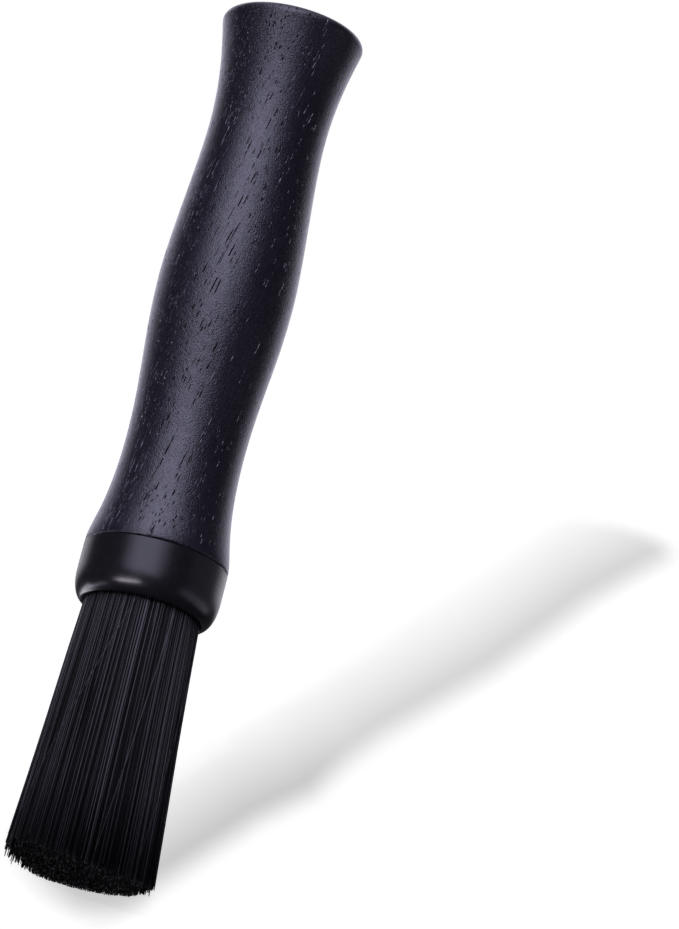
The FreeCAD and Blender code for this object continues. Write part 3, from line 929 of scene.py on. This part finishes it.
# %% The studio's lights
# Each panel: azimuth, elevation, width and height in degrees, then its brightness.
panels = [panel("key_softbox", -16, 33, 36, 58, 1.22),
          panel("key_spill", -16, 33, 52, 59, 1.22, distance=1.3),
          panel("key_wide_spill", -15, 33, 68, 60, 1.22, distance=1.4),
          panel("left_low_panel", -138, -27, 44, 18, 4.4)]
low_panels = [panel("low_panel", -35, -24, 34, 6, 26.5, WARM),
              panel("right_low_panel", 86, -13, 66, 17, 0.85),
              panel("left_low_spill", -100, -33, 36, 11, 2.2)]
rim_panels = [panel("left_rim", -158, 19, 30, 84, 0.65, COOL),
              panel("right_rim", 156, 19, 30, 84, 0.45, COOL),
              panel("top_rim", -20, 80, 60, 40, 1.4, COOL)]
ferrule_panels = [panel("seam_glint", 180, 37, 62, 28, 45.0),
                  panel("lip_fill", -10, 0, 44, 10, 1.6),
                  panel("right_fill", 96, 12, 70, 50, 0.20)]
sheet_sun = lamp("sheet_sun", "SUN", Vector(from_view(-0.1699, 0.2036, 0.965)), target=(0, 0, 0),
                 energy=0.5, angle=np.radians(1))
floor_sun = lamp("floor_sun", "SUN", Vector((-0.4, -0.45, 1.0)), target=(0, 0, 0),
                 energy=2.4, angle=np.radians(12))


def light_only(holders, pieces, name):
    """Lets these lamps light these pieces and nothing else."""
    lit = bpy.data.collections.new(name)
    for piece in pieces:
        lit.objects.link(piece)
    for holder in holders:
        holder.light_linking.receiver_collection = lit


light_only([sheet_sun], [sheet], "lit_sheet")
light_only([floor_sun], [floor], "lit_floor")
light_only(panels, [handle, ferrule, *tuft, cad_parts["resin_plug"]], "lit_brush")
light_only(low_panels, [handle, ferrule], "lit_from_below")
light_only(rim_panels, [handle], "lit_handle")
light_only(ferrule_panels, [ferrule], "lit_ferrule")
print("lamps:", len(bpy.data.lights))

# %% The white world, and its mirrored backdrop
DIM_STRENGTH, DIM_COLOUR = 0.065, (0.9, 0.9, 1.0, 1)
SEEN_WHITE, MIRRORED_WHITE = (1, 1, 1, 1), (0.92, 0.90, 1, 1)
BACKWARDS, UPWARDS = (0.40, 0.75), (0.10, 0.24)
world = bpy.data.worlds.new("studio")
world.use_nodes = True
bpy.context.scene.world = world
tree = world.node_tree
tree.nodes.clear()
paths = add(tree, "ShaderNodeLightPath").outputs
dim = add(tree, "ShaderNodeBackground", Color=DIM_COLOUR, Strength=DIM_STRENGTH)
white = add(tree, "ShaderNodeBackground", Strength=1.0,
            Color=mixed(tree, paths["Is Camera Ray"], MIRRORED_WHITE, SEEN_WHITE))
outward = parts_of(tree, add(tree, "ShaderNodeTexCoord").outputs["Generated"])
backdrop = maths(tree, "MULTIPLY", ranged(tree, outward["Y"], *BACKWARDS, kind="SMOOTHSTEP"),
                 ranged(tree, outward["Z"], *UPWARDS, kind="SMOOTHSTEP"))
mirrored = maths(tree, "MAXIMUM", paths["Is Glossy Ray"], paths["Is Transmission Ray"])
blend = add(tree, "ShaderNodeMixShader", Fac=maths(
    tree, "MAXIMUM", paths["Is Camera Ray"], maths(tree, "MULTIPLY", mirrored, backdrop)))
tree.links.new(dim.outputs[0], blend.inputs[1])
tree.links.new(white.outputs[0], blend.inputs[2])
tree.links.new(blend.outputs[0], add(tree, "ShaderNodeOutputWorld").inputs["Surface"])
bpy.context.scene.view_settings.view_transform = "Standard"
print("world has", len(tree.nodes), "nodes")
